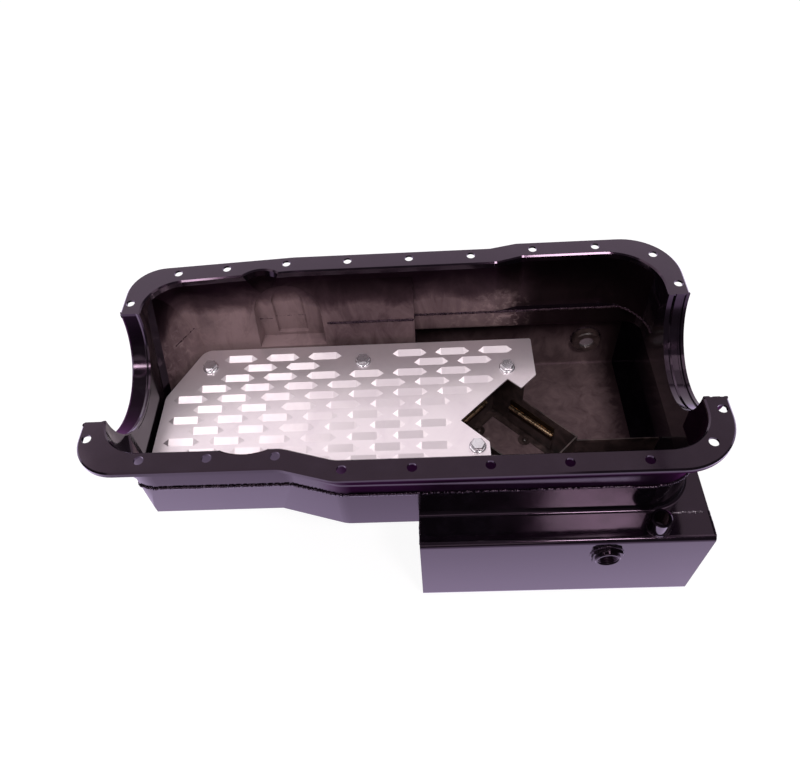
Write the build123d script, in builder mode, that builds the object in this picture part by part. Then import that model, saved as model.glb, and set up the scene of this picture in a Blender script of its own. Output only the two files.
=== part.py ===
"""Fabricated engine oil pan: stamped rail with seal saddles, shallow bowl, T-shaped sump,
louvred windage tray and a diamond box of hinged trap doors.

Frame: millimetres, X along the crankshaft axis (front of the engine at -X), +Z up,
origin on the crankshaft axis in the plane of the rail's gasket face.
Y is the pan's width: "near" stands for the -Y side and "far" for the +Y side.
"""

from build123d import *
from math import atan, cos, radians, sin
import os

os.makedirs("parts", exist_ok=True)

# ---------------------------------------------------------------- driving dimensions
sheet = 1.6  # steel sheet of the pan
weld_gap = 0.05  # fit-up gap under a weld

# rail
rail_thickness = 2.2  # flange of the stamped rail
rail_lip = 5.5  # depth of the flange's turned-down outer lip
rail_bend = 1.4  # bevel of the flange's pressed edges
rail_half = 277.5  # half length of the rail
opening_half = 257.5  # half length of the opening
near_outer_front = 120.5  # flange's outer edge, near side, front of the jog
near_outer_rear = 133.5
far_outer_front = 130.5
far_outer_mid = 141.0
far_outer_rear = 147.0
near_inner_front = 99.5  # opening's edge on the same stretches
near_inner_rear = 113.0
far_inner_front = 108.0
far_inner_mid = 118.0
far_inner_rear = 125.5
near_jog = (-100.0, -55.0)  # x from which and to which the near rail steps out
far_jog = (98.0, 125.0)
far_slant_end = -110.0  # the far rail runs in towards the front from here
rail_reliefs = ((-142.0, 96.0, 27.0), (-131.5, -55.8, 48.7))  # x, y and radius of rod scoops
relief_depth = 30.0
relief_draft = 15.0

# rail bolt holes
bolt_hole = 8.5
bolt_spacing = 63.5
bolt_first_x = 9.5
front_hole_spacing = 57.5
corner_hole_x = 270.0
front_corner_holes = (-84.0, 81.0)
rear_corner_holes = (-75.0, 77.0)
near_front_hole_y = -108.0
far_front_holes = ((-179.0, 126.5), (-229.0, 122.5))
far_end_hole = (255.0, 120.5)
near_end_hole_x = 254.0
near_jog_hole_x = -48.0

# end-seal saddles
front_saddle_radius = 66.0
rear_saddle_radius = 62.0
saddle_sheet = 2.0

# shallow section
shallow_depth = 105.0  # top of the shallow floor, below the rail face
near_seam_depth = 55.0  # weld seam under the stamping, at the near and the far wall
far_seam_depth = 70.0
sump_front = 12.0  # where the shallow section ends and the sump begins
far_wall_foot = 105.5  # y of the leaning far wall at the floor
far_slope_top = 14.0  # depth where that wall starts to lean in
far_facet = (38.0, 34.0)  # front far corner: y of the facet's front end, its run along X
far_facet_rise = 9.5  # how far the facet stays in from the corner at the top
near_facet = (43.5, 21.5)
near_facet_depth = 44.0
near_wall_foot = 94.5  # -y of the near wall at the floor, front of the jog
near_slope_top = 57.0  # depth where that wall starts to lean in

# arched rod pocket in the far wall
pocket_x = -124.0
pocket_draft = 12.5
pocket_levels = (  # half width, top depth, bottom depth, y of the face
    (34.0, 19.0, 96.0, 121.0),
    (16.0, 28.0, 91.0, 125.0),
)

# sump
deck_depth = 95.0  # top of the kick-outs' decks
sump_depth = 200.0
sump_near = 146.5
sump_far = 152.0
sump_rear = 269.6  # at the floor
sump_rear_top = 273.2  # at the decks: the rear wall leans out
sump_bend = 5.0  # outer radius of the folded wrap
collar_near_radius = 38.0  # plan radii of the collar's rear corners
collar_far_radius = 16.0
collar_flange = 5.0  # collar's turned-out foot
collar_bend = 4.0  # inside radius of that bend
rear_deck_front = 225.0

# sensor bung, drain and dipstick tube
bung_x = 181.0
bung_depth = 119.0
bung_flats = 26.0
bung_hex = 4.0
bung_diameter = 23.0
bung_bore = 19.0
bung_length = 6.5
drain_x = 214.0
drain_depth = 152.0
drain_boss = 32.0
drain_inside = 10.0  # how far the boss stands into the sump
drain_outside = 4.0
drain_bore = 17.5
drain_washer_thickness = 2.0
drain_plug_flange = 2.0
drain_plug_head = 8.0
drain_plug_flats = 19.0
drain_plug_reach = 13.0
dipstick_x = 224.5
dipstick_y = -134.0
dipstick_diameter = 18.0
dipstick_bore = 13.5
dipstick_height = 22.0
dipstick_lean = (5.0, 5.5)  # degrees towards the front and the near side
dipstick_collar = 20.0
dipstick_collar_height = 3.0

# windage tray
tray_depth = 95.0
tray_sheet = 1.6
tray_front = 254.0
tray_near_gap = 6.5  # to the near wall
tray_far = 99.5
tray_near_facet = (37.5, 19.0, 6.0)  # y where it starts, its run along X, gap to the wall
tray_far_facet = (34.5, 32.0)
tray_rear = 138.0
tray_notch_x = 83.0
tray_notch_near = -35.5
tray_notch_west = (56.0, -8.5)
tray_notch_north = (108.0, 43.5)
tray_notch_east = (121.0, 30.5)
tray_rear_far = 47.5
louvre_length = 37.0
louvre_width = 8.6
louvre_height = 3.0
louvre_sheet = 1.0
louvre_point = 6.0  # length of the pointed ends
louvre_ridge = 1.2  # how far the louvre's ridge stands in from its far edge
louvre_pitch_x = 46.4
louvre_pitch_y = 13.6
louvre_first = (5.5, 84.5)
louvre_rows = 14
louvre_edge = 4.0  # least distance to the tray's edge
louvre_clear = (32.0, 15.0)  # half axes of the area kept clear round a bolt

# tray fasteners
tray_bolt = 8.0
tray_bolt_hole = 8.4
tray_bolt_flats = 13.0
tray_bolt_head = 5.4
tray_bolt_reach = 8.9
thread_gap = 0.15
standoff_flats = 14.0
floor_bolts = ((-212.0, 74.5), (-45.0, 75.5), (-205.0, -74.0), (-45.0, -84.0))
north_bolt = (109.0, 59.5)
south_bolt = (71.0, -40.5)
nut_height = 5.5
post_sheet = 2.0
post_width = 24.0
post_reach = 22.0

# trap-door box
box_line_ne = 184.0  # x + y on the outer face of the north-east wall
box_line_nw = 15.0  # x - y on the outer face of the north-west wall
box_long = 116.0
box_short = 73.0
box_height = 54.0
box_sheet = 1.5
box_foot = 8.0  # width of the foot flange inside the box
box_tab = 42.0  # width of the tall tab that carries the tray
rivet_inset = 9.5
rivet_pad = 7.0
wing_height = 47.0
wing_foot = 8.0
wing_lap = 2.0  # how far a wing's blank reaches past the box's corner before it is mitred

# trap doors and their hinges
door_long = 60.0
door_short = 38.0
door_height = 28.0
door_sheet = 1.2
door_air = 0.4  # gap between a shut door and its wall
door_top_gap = 2.8
door_lap = 3.0  # overlap of a shut door on its opening
opening_drop = 3.5  # opening's top, below the hinge
hinge_depth = 167.5
hinge_offset = 2.7
hinge_barrel = 4.6
hinge_pin = 2.2
hinge_bore = 2.3
hinge_leaf = 1.0
hinge_leaf_width = 10.0
knuckles = 3
knuckle_gap = 0.4

# ---------------------------------------------------------------- derived values
huge = 4 * rail_half  # larger than the pan, for cutting tools
bowl_floor = -shallow_depth
deck_z = -deck_depth
sump_floor = -sump_depth
floor_top = sump_floor + sheet
tray_top = -tray_depth
tray_bottom = tray_top - tray_sheet
hinge_z = -hinge_depth
saddle_cut = 3 * (rail_half - opening_half)  # length of the tools that cut the saddles
opening_width = near_inner_rear + far_inner_mid
seam_tilt = atan((far_seam_depth - near_seam_depth) / opening_width)
seam_plane = Plane(
    origin=(sump_front, -near_inner_rear, -near_seam_depth),
    x_dir=(1, 0, 0),
    z_dir=(0, sin(seam_tilt), cos(seam_tilt)),
)

opening_corners = [
    (-opening_half, -near_inner_front, 36),
    (near_jog[0], -near_inner_front, 28),
    (near_jog[1], -near_inner_rear, 28),
    (opening_half, -near_inner_rear, collar_near_radius),
    (opening_half, far_inner_rear, 50),
    (far_jog[1], far_inner_rear, 14),
    (far_jog[0], far_inner_mid, 14),
    (far_slant_end, far_inner_mid, 60),
    (-opening_half, far_inner_front, 36),
]
rail_corners = [
    (-rail_half, -near_outer_front, 37),
    (near_jog[0], -near_outer_front, 30),
    (near_jog[1], -near_outer_rear, 30),
    (rail_half, -near_outer_rear, 52),
    (rail_half, far_outer_rear, 54),
    (far_jog[1] - 5, far_outer_rear, 18),
    (far_jog[0] - 5, far_outer_mid, 18),
    (far_slant_end, far_outer_mid, 60),
    (-rail_half, far_outer_front, 37),
]
collar_corners = [
    (-opening_half, -near_inner_rear, 10),
    (opening_half, -near_inner_rear, collar_near_radius),
    (opening_half, far_inner_mid, collar_far_radius),
    (-opening_half, far_inner_mid, 10),
]
near_hole_y = -(near_inner_rear + near_outer_rear) / 2
far_hole_y = (far_inner_mid + far_outer_mid) / 2 + 1
far_rear_hole_y = (far_inner_rear + far_outer_rear) / 2
even_holes = [bolt_first_x + bolt_spacing * step for step in range(-2, 4)]
rail_holes = [
    *[(x, near_hole_y) for x in even_holes[2:]],
    *[(x, far_hole_y) for x in even_holes[:4]],
    *[(x, far_rear_hole_y) for x in even_holes[4:]],
    *[(-104 - front_hole_spacing * step, near_front_hole_y) for step in range(3)],
    *[(-corner_hole_x, y) for y in front_corner_holes],
    *[(corner_hole_x, y) for y in rear_corner_holes],
    *far_front_holes,
    far_end_hole,
    (near_jog_hole_x, near_hole_y),
    (near_end_hole_x, near_front_hole_y),
]


def outline(corners):
    """Closed outline through corners given as (x, y, radius)."""
    points = [(x, y) for x, y, radius in corners]
    radii = [radius for x, y, radius in corners]
    with BuildSketch() as shape:
        with BuildLine():
            FilletPolyline(*points, radius=radii, close=True)
        make_face()
    return shape.sketch


def grown(face, amount):
    """A flat outline moved out by amount."""
    with BuildSketch() as shape:
        add(face)
        offset(amount=amount)
    return shape.sketch


opening_print = outline(opening_corners)
collar_print = outline(collar_corners)
rail_print = outline(rail_corners)


def near_lean(grow):
    """What the near wall's lean takes off the bowl ahead of the jog."""
    jog_start = Vector(near_jog[0], -near_inner_front, 0)
    jog_end = Vector(near_jog[1], -near_inner_rear, 0)
    jog_out = (jog_end - jog_start).normalized().rotate(Axis.Z, -90)
    rise = shallow_depth - near_slope_top
    lean_out = Vector(0, -rise, near_wall_foot - near_inner_front).normalized()
    lean_start = Vector(0, -near_inner_front, -near_slope_top)
    with BuildPart() as cut:
        with Locations(Plane(origin=lean_start + lean_out * grow, z_dir=lean_out)):
            Box(huge, huge, huge, align=(Align.CENTER, Align.CENTER, Align.MIN))
        with Locations(Plane(origin=jog_start + jog_out * grow, z_dir=jog_out)):
            Box(
                huge,
                huge,
                huge,
                align=(Align.CENTER, Align.CENTER, Align.MIN),
                mode=Mode.INTERSECT,
            )
    return cut.part


def bowl(grow):
    """Closed body of the pan's bowl, every face moved out by grow."""
    lean = atan((far_inner_mid - far_wall_foot) / (shallow_depth - far_slope_top))
    shift = grow / cos(lean)
    far_y, far_run = far_facet
    near_y, near_run = near_facet
    with BuildPart() as body:
        with BuildSketch():
            add(grown(opening_print, grow) if grow else opening_print)
        extrude(amount=bowl_floor - grow)

        # leaning far wall
        with BuildSketch(Plane.YZ.offset(sump_front - grow)):
            with BuildLine():
                Polyline(
                    (far_inner_mid + shift, -far_slope_top),
                    (far_wall_foot + shift, bowl_floor),
                    (far_wall_foot + shift, 2 * bowl_floor),
                    (huge, 2 * bowl_floor),
                    (huge, -far_slope_top),
                    close=True,
                )
            make_face()
        extrude(amount=-huge, mode=Mode.SUBTRACT)

        # near wall leans in ahead of its jog
        add(near_lean(grow), mode=Mode.SUBTRACT)

        # oblique facet of the front far corner
        foot_front = Vector(-opening_half, far_y, bowl_floor)
        foot_rear = Vector(-opening_half + far_run, far_wall_foot, bowl_floor)
        top = Vector(
            -opening_half + far_facet_rise, far_inner_front - far_facet_rise, -far_slope_top
        )
        outward = (foot_rear - foot_front).cross(top - foot_front).normalized()
        if outward.Y < 0:
            outward = -outward
        with Locations(Plane(origin=foot_rear + outward * grow, z_dir=outward)):
            Box(
                huge,
                huge,
                huge,
                align=(Align.CENTER, Align.CENTER, Align.MIN),
                mode=Mode.SUBTRACT,
            )

        # upright facet of the front near corner
        along = Vector(near_run, near_y - near_inner_front, 0).normalized()
        away = along.rotate(Axis.Z, -90)
        start = Vector(-opening_half, -near_y, -near_facet_depth - grow) + away * grow
        with Locations(Plane(origin=start, x_dir=along, z_dir=(0, 0, -1))):
            Box(huge, huge, huge, align=(Align.CENTER, Align.MIN, Align.MIN), mode=Mode.SUBTRACT)

        # arched pocket, in two drafted levels
        for half, top_depth, bottom_depth, face in pocket_levels:
            arch_depth = top_depth + half
            pocket_plane = Plane(origin=(pocket_x, face + grow, 0), x_dir=(1, 0, 0), z_dir=(0, 1, 0))
            with BuildSketch(pocket_plane):
                with Locations((0, arch_depth)):
                    Circle(half + grow)
                with Locations((0, arch_depth)):
                    Rectangle(
                        2 * (half + grow),
                        bottom_depth + grow - arch_depth,
                        align=(Align.CENTER, Align.MIN),
                    )
            extrude(amount=far_wall_foot - 8 - face - grow, taper=-pocket_draft)
    return body.part


bowl_hollow = bowl(0)
with BuildPart() as skin:
    add(bowl(sheet))
    add(bowl_hollow, mode=Mode.SUBTRACT)


def relief(x, y, radius):
    """Tapered rod scoop that fades out down the wall."""
    with BuildPart() as scoop:
        with BuildSketch():
            with Locations((x, y)):
                Circle(radius)
        extrude(amount=-relief_depth, taper=relief_draft)
    return scoop.part


# ---------------------------------------------------------------- rail stamping
front_band = [  # x and radius along the front saddle's inner surface
    (-rail_half, front_saddle_radius + 1.5),
    (-rail_half + 2, front_saddle_radius),
    (-opening_half - 4, front_saddle_radius),
    (-opening_half - 2, front_saddle_radius - 1),
    (-opening_half, front_saddle_radius - 1),
]
rear_band = [
    (opening_half, rear_saddle_radius - 0.6),
    (opening_half + 4.5, rear_saddle_radius - 0.6),
    (opening_half + 6, rear_saddle_radius + 1),
    (opening_half + 7.5, rear_saddle_radius),
    (opening_half + 13.5, rear_saddle_radius),
    (opening_half + 14.5, rear_saddle_radius + 1.6),
    (opening_half + 16, rear_saddle_radius + 1.6),
    (opening_half + 17, rear_saddle_radius),
    (rail_half, rear_saddle_radius),
]

with BuildPart() as rail_stamping:
    # flange with its turned-down lip
    with BuildSketch():
        add(rail_print)
    extrude(amount=-rail_lip)
    with BuildSketch(Plane.XY.offset(-rail_thickness)):
        add(grown(rail_print, -rail_thickness))
    extrude(amount=-rail_lip, mode=Mode.SUBTRACT)

    # upper walls, down to the seam
    add(skin.part)
    with Locations(seam_plane):
        Box(huge, huge, huge, align=(Align.CENTER, Align.CENTER, Align.MAX), mode=Mode.SUBTRACT)
    for x, y, radius in rail_reliefs:
        add(relief(x, y, radius + sheet))
    add(bowl_hollow, mode=Mode.SUBTRACT)
    for x, y, radius in rail_reliefs:
        add(relief(x, y, radius), mode=Mode.SUBTRACT)
    chamfer(rail_stamping.edges().filter_by_position(Axis.Z, -0.01, 0.01), length=rail_bend)

    # half-round seal saddles
    for x, radius in ((-opening_half, front_saddle_radius), (opening_half, rear_saddle_radius)):
        with Locations((x, 0, 0)):
            Cylinder(
                radius + saddle_sheet / 4,
                saddle_cut,
                rotation=(0, 90, 0),
                mode=Mode.SUBTRACT,
            )
    for band in (front_band, rear_band):
        with BuildSketch():
            with BuildLine():
                outer = [(x, -radius - saddle_sheet) for x, radius in reversed(band)]
                Polyline(*[(x, -radius) for x, radius in band], *outer, close=True)
            make_face()
        revolve(axis=Axis.X, revolution_arc=180)
    with Locations(*rail_holes):
        Hole(bolt_hole / 2, depth=2 * rail_thickness)

# ---------------------------------------------------------------- shallow section
with BuildPart() as shallow_section:
    add(skin.part)
    with Locations(seam_plane):
        Box(huge, huge, huge, align=(Align.CENTER, Align.CENTER, Align.MIN), mode=Mode.SUBTRACT)
    with Locations((sump_front, 0, 0)):
        Box(huge, huge, huge, align=(Align.MIN, Align.CENTER, Align.CENTER), mode=Mode.SUBTRACT)
    with Locations((-opening_half, 0, 0)):
        Cylinder(
            front_saddle_radius + saddle_sheet + weld_gap,
            saddle_cut,
            rotation=(0, 90, 0),
            mode=Mode.SUBTRACT,
        )

# ---------------------------------------------------------------- sump
with BuildPart() as sump_collar:
    with BuildSketch():
        add(grown(collar_print, sheet))
    extrude(amount=deck_z - sheet)
    with BuildSketch(Plane.XY.offset(deck_z)):
        add(grown(collar_print, sheet + collar_flange))
    extrude(amount=-sheet)
    with BuildSketch():
        add(collar_print)
    extrude(amount=-huge, mode=Mode.SUBTRACT)
    foot = sump_collar.faces().sort_by(Axis.Z)[0]
    heel = sump_collar.faces().filter_by_position(Axis.Z, deck_z - 0.01, deck_z + 0.01)[0]
    fillet(foot.inner_wires()[0].edges(), radius=collar_bend + sheet)
    fillet(heel.inner_wires()[0].edges(), radius=collar_bend)
    with Locations(seam_plane.offset(-sheet)):
        Box(huge, huge, huge, align=(Align.CENTER, Align.CENTER, Align.MIN), mode=Mode.SUBTRACT)

# ledge that closes the step between the stamping's outline and the collar's
with BuildPart() as seam_ledge:
    with BuildSketch():
        add(grown(collar_print, sheet))
        add(grown(opening_print, sheet))
    extrude(amount=deck_z)
    with BuildSketch() as clear_way:
        add(collar_print)
        add(opening_print, mode=Mode.INTERSECT)
    extrude(amount=deck_z, mode=Mode.SUBTRACT)
    with Locations(seam_plane):
        Box(huge, huge, sheet, align=(Align.CENTER, Align.CENTER, Align.MAX), mode=Mode.INTERSECT)

with BuildPart() as collar:
    add(sump_collar.part)
    add(seam_ledge.part)
    with Locations((sump_front, 0, 0)):
        Box(huge, huge, huge, align=(Align.MAX, Align.CENTER, Align.CENTER), mode=Mode.SUBTRACT)
    with Locations((sump_front, 0, deck_z)):
        Box(sheet, huge, huge, align=(Align.MIN, Align.CENTER, Align.MAX), mode=Mode.SUBTRACT)
    with Locations((opening_half, 0, 0)):
        Cylinder(
            rear_saddle_radius + saddle_sheet + weld_gap,
            saddle_cut,
            rotation=(0, 90, 0),
            mode=Mode.SUBTRACT,
        )

deck_near = -near_inner_rear - sheet - collar_flange
deck_far = far_inner_mid + sheet + collar_flange
sump_middle = (sump_far - sump_near) / 2
with BuildSketch() as sump_section:
    with Locations((sump_middle, (deck_z + sump_floor) / 2)):
        RectangleRounded(sump_near + sump_far, sump_depth - deck_depth, sump_bend)
with BuildSketch() as wrap_section:
    add(sump_section.sketch)
    with Locations((sump_middle, (deck_z + sump_floor) / 2)):
        RectangleRounded(
            sump_near + sump_far - 2 * sheet,
            sump_depth - deck_depth - 2 * sheet,
            sump_bend - sheet,
            mode=Mode.SUBTRACT,
        )
    with Locations((deck_near, deck_z)):
        Rectangle(
            deck_far - deck_near,
            4 * sheet,
            align=(Align.MIN, Align.CENTER),
            mode=Mode.SUBTRACT,
        )

rear_plane = Plane(
    origin=(sump_rear, 0, sump_floor),
    x_dir=(0, 1, 0),
    z_dir=(sump_depth - deck_depth, 0, sump_rear - sump_rear_top),
)
bung_plane = Plane(origin=(bung_x, -sump_near, -bung_depth), z_dir=(0, -1, 0))
drain_plane = Plane(origin=(drain_x, sump_far + drain_outside, -drain_depth), z_dir=(0, 1, 0))

with BuildPart() as sump_wrap:
    with BuildSketch(Plane.YZ.offset(sump_front + sheet)):
        add(wrap_section.sketch)
    extrude(amount=sump_rear_top - sump_front)
    with Locations(rear_plane.offset(-sheet)):
        Box(
            huge,
            huge,
            huge,
            align=(Align.CENTER, Align.CENTER, Align.MIN),
            mode=Mode.SUBTRACT,
        )
    with Locations(bung_plane):
        Hole(bung_diameter / 2, depth=2 * sheet)
    with Locations(drain_plane):
        Hole(drain_boss / 2 + weld_gap, depth=drain_outside + 2 * sheet)
    with Locations((dipstick_x, dipstick_y, deck_z)):
        Hole(dipstick_bore / 2, depth=2 * sheet)

with BuildPart() as sump_front_wall:
    with BuildSketch(Plane.YZ.offset(sump_front)):
        add(sump_section.sketch)
        slope = (far_inner_mid - far_wall_foot) / (shallow_depth - far_slope_top)
        with BuildLine():
            Polyline(
                (-near_inner_rear, bowl_floor),
                (far_wall_foot, bowl_floor),
                (far_wall_foot + slope * (shallow_depth - far_slope_top), -far_slope_top),
                (-near_inner_rear, -far_slope_top),
                close=True,
            )
        make_face(mode=Mode.SUBTRACT)
    extrude(amount=sheet)

with BuildPart() as sump_rear_wall:
    with BuildSketch(Plane.YZ.offset(sump_rear - 2 * sheet)):
        add(sump_section.sketch)
    extrude(amount=sump_rear_top - sump_rear + 4 * sheet)
    with Locations(rear_plane):
        Box(
            huge,
            huge,
            sheet,
            align=(Align.CENTER, Align.CENTER, Align.MAX),
            mode=Mode.INTERSECT,
        )

rear_deck_end = sump_rear_top - sheet - 2 * weld_gap
with BuildPart() as rear_deck:
    with BuildSketch(Plane.XY.offset(deck_z)):
        with Locations((rear_deck_end, (deck_near + deck_far) / 2)):
            Rectangle(
                rear_deck_end - rear_deck_front,
                deck_far - deck_near,
                align=(Align.MAX, Align.CENTER),
            )
        add(grown(collar_print, sheet + collar_flange), mode=Mode.SUBTRACT)
    extrude(amount=-sheet)

# ---------------------------------------------------------------- bungs and dipstick tube
with BuildPart() as sensor_bung:
    with BuildSketch(bung_plane):
        RegularPolygon(bung_flats / 2, 6, major_radius=False)
    extrude(amount=bung_hex)
    with BuildSketch(bung_plane):
        Circle(bung_diameter / 2)
    extrude(amount=bung_length)
    chamfer(sensor_bung.faces().sort_by(Axis.Y)[0].edges(), length=0.8)
    with BuildSketch(bung_plane):
        Circle(bung_bore / 2)
    extrude(amount=bung_length, mode=Mode.SUBTRACT)

with BuildPart() as drain_bung:
    with BuildSketch(drain_plane):
        Circle(drain_boss / 2)
    extrude(amount=-(drain_outside + sheet + drain_inside))
    chamfer(drain_bung.faces().sort_by(Axis.Y)[0].edges(), length=1.2)
    with BuildSketch(drain_plane):
        Circle(drain_bore / 2)
    extrude(amount=-(drain_outside + sheet + drain_inside), mode=Mode.SUBTRACT)

with BuildPart() as drain_washer:
    with BuildSketch(drain_plane):
        Circle(drain_boss / 2 - 2)
        Circle(drain_bore / 2, mode=Mode.SUBTRACT)
    extrude(amount=drain_washer_thickness)

plug_seat = drain_plane.offset(drain_washer_thickness)
with BuildPart() as drain_plug:
    with BuildSketch(plug_seat):
        Circle(drain_boss / 2 - 3)
    extrude(amount=drain_plug_flange)
    with BuildSketch(plug_seat.offset(drain_plug_flange)):
        RegularPolygon(drain_plug_flats / 2, 6, major_radius=False)
    extrude(amount=drain_plug_head)
    chamfer(drain_plug.faces().sort_by(Axis.Y)[-1].edges(), length=0.8)
    with BuildSketch(plug_seat):
        Circle(drain_bore / 2 - thread_gap)
    extrude(amount=-(drain_washer_thickness + drain_plug_reach))

dipstick_axis = Vector(*[-sin(radians(lean)) for lean in dipstick_lean], 1)
dipstick_plane = Plane(origin=(dipstick_x, dipstick_y, deck_z), z_dir=dipstick_axis)
with BuildPart() as dipstick_tube:
    with BuildSketch(dipstick_plane.offset(-dipstick_collar_height)):
        Circle(dipstick_diameter / 2)
    extrude(amount=dipstick_height + dipstick_collar_height)
    chamfer(dipstick_tube.faces().sort_by(Axis.Z)[-1].edges(), length=0.8)
    with BuildSketch(Plane.XY.offset(deck_z)):
        with Locations((dipstick_x, dipstick_y)):
            Circle(dipstick_collar / 2)
    extrude(amount=dipstick_collar_height)
    with BuildSketch(dipstick_plane.offset(-dipstick_collar_height)):
        Circle(dipstick_bore / 2)
    extrude(amount=dipstick_height + dipstick_collar_height, mode=Mode.SUBTRACT)
    with Locations((dipstick_x, dipstick_y, deck_z)):
        Box(huge, huge, huge, align=(Align.CENTER, Align.CENTER, Align.MAX), mode=Mode.SUBTRACT)

# ---------------------------------------------------------------- windage tray
near_facet_y, near_facet_run, near_facet_gap = tray_near_facet
far_facet_y, far_facet_run = tray_far_facet
tray_corners = [
    (-tray_front, -near_facet_y, 4),
    (-tray_front + near_facet_run, -near_inner_front + near_facet_gap, 4),
    (near_jog[0] + 4, -near_inner_front + near_facet_gap, 20),
    (near_jog[1] + 4, -near_inner_rear + tray_near_gap, 20),
    (tray_notch_x, -near_inner_rear + tray_near_gap, 2),
    (tray_notch_x, tray_notch_near, 3),
    (*tray_notch_west, 1),
    (*tray_notch_north, 1),
    (*tray_notch_east, 1),
    (tray_rear, tray_rear_far, 2),
    (tray_rear, tray_far, 2),
    (-tray_front + far_facet_run, tray_far, 14),
    (-tray_front, far_facet_y, 14),
]
tray_print = outline(tray_corners)
tray_bolt_places = [*floor_bolts, north_bolt, south_bolt]


def louvre_places():
    """Brick pattern of louvres, leaving out those near a bolt or the tray's edge."""
    field = grown(tray_print, -louvre_edge)
    columns = round(tray_front / louvre_pitch_x) + 1
    places = []
    for row in range(louvre_rows):
        y = louvre_first[1] - row * louvre_pitch_y
        shift = (row % 2) * louvre_pitch_x / 2
        for column in range(-columns, columns):
            x = louvre_first[0] + shift + column * louvre_pitch_x
            tips = [(x + side * louvre_length / 2, y, 0) for side in (-1, 0, 1)]
            clear = all(
                ((x - bolt_x) / louvre_clear[0]) ** 2 + ((y - bolt_y) / louvre_clear[1]) ** 2 > 1
                for bolt_x, bolt_y in tray_bolt_places
            )
            if clear and all(field.is_inside(tip) for tip in tips):
                places.append((x, y))
    return places


def louvre_bump():
    """Raised scoop with pointed ends: low towards the near side, its ridge towards the far side."""
    half = louvre_length / 2
    shoulder = half - louvre_point
    side = louvre_width / 2
    base = [
        Vector(-half, 0),
        Vector(-shoulder, -side),
        Vector(shoulder, -side),
        Vector(half, 0),
        Vector(shoulder, side),
        Vector(-shoulder, side),
    ]
    left = Vector(-shoulder, side - louvre_ridge, louvre_height)
    right = Vector(shoulder, side - louvre_ridge, louvre_height)
    facets = [
        base,
        [base[1], base[2], right, left],
        [base[0], base[1], left],
        [base[0], left, base[5]],
        [base[3], right, base[2]],
        [base[3], base[4], right],
        [base[4], base[5], left, right],
    ]
    faces = [Face(Wire.make_polygon(facet, close=True)) for facet in facets]
    return Solid(Shell(faces))


louvre_spots = louvre_places()
louvre_foot = -louvre_width / 2 + tray_sheet
louvre_roof = louvre_height - louvre_sheet
with BuildPart() as windage_tray:
    with BuildSketch(Plane.XY.offset(tray_bottom)):
        add(tray_print)
        with Locations(*tray_bolt_places):
            Circle(tray_bolt_hole / 2, mode=Mode.SUBTRACT)
    extrude(amount=tray_sheet)
    with Locations(*[(x, y, tray_top) for x, y in louvre_spots]):
        add(louvre_bump())

    # hollow under each louvre, open through its far face
    with BuildPart(mode=Mode.PRIVATE) as louvre_mouth:
        with BuildSketch(Plane.YZ.offset(louvre_point + tray_sheet - louvre_length / 2)):
            with BuildLine():
                Polyline(
                    (louvre_foot, -2 * tray_sheet),
                    (louvre_foot, 0),
                    (louvre_width / 2 - louvre_ridge, louvre_roof),
                    (louvre_width / 2, louvre_roof),
                    (louvre_width / 2, -2 * tray_sheet),
                    close=True,
                )
            make_face()
        extrude(amount=louvre_length - 2 * (louvre_point + tray_sheet))
    with Locations(*[(x, y, tray_top) for x, y in louvre_spots]):
        add(louvre_mouth.part, mode=Mode.SUBTRACT)

# ---------------------------------------------------------------- tray fasteners
with BuildPart() as tray_bolts:
    with BuildSketch(Plane.XY.offset(tray_top)):
        with Locations(*tray_bolt_places):
            RegularPolygon(tray_bolt_flats / 2, 6, major_radius=False)
    extrude(amount=tray_bolt_head)
    heads = tray_bolts.faces().filter_by_position(
        Axis.Z, tray_top + tray_bolt_head - 0.01, tray_top + tray_bolt_head + 0.01
    )
    chamfer([edge for head in heads for edge in head.edges()], length=0.8)
    with BuildSketch(Plane.XY.offset(tray_top)):
        with Locations(*tray_bolt_places):
            Circle(tray_bolt / 2)
    extrude(amount=-tray_bolt_reach)

with BuildPart() as tray_standoffs:
    with BuildSketch(Plane.XY.offset(bowl_floor)):
        with Locations(*floor_bolts):
            RegularPolygon(standoff_flats / 2, 6, major_radius=False)
            Circle(tray_bolt / 2 + thread_gap, mode=Mode.SUBTRACT)
    extrude(amount=tray_bottom - bowl_floor)

with BuildPart() as post_nuts:
    with BuildSketch(Plane.XY.offset(tray_bottom - post_sheet)):
        with Locations(north_bolt, south_bolt):
            RegularPolygon(tray_bolt_flats / 2, 6, major_radius=False)
            Circle(tray_bolt / 2 + thread_gap, mode=Mode.SUBTRACT)
    extrude(amount=-nut_height)

south_x, south_y = south_bolt
web_y = south_y - post_reach / 2
with BuildPart() as tray_post:
    with BuildSketch(Plane.YZ.offset(south_x - post_width / 2)):
        with BuildLine():
            Polyline(
                (web_y, floor_top),
                (web_y + post_reach, floor_top),
                (web_y + post_reach, floor_top + post_sheet),
                (web_y + post_sheet, floor_top + post_sheet),
                (web_y + post_sheet, tray_bottom - post_sheet),
                (web_y + post_reach, tray_bottom - post_sheet),
                (web_y + post_reach, tray_bottom),
                (web_y, tray_bottom),
                close=True,
            )
        make_face()
    extrude(amount=post_width)
    with Locations((south_x, south_y, tray_bottom)):
        Hole(tray_bolt_hole / 2, depth=2 * post_sheet)

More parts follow.
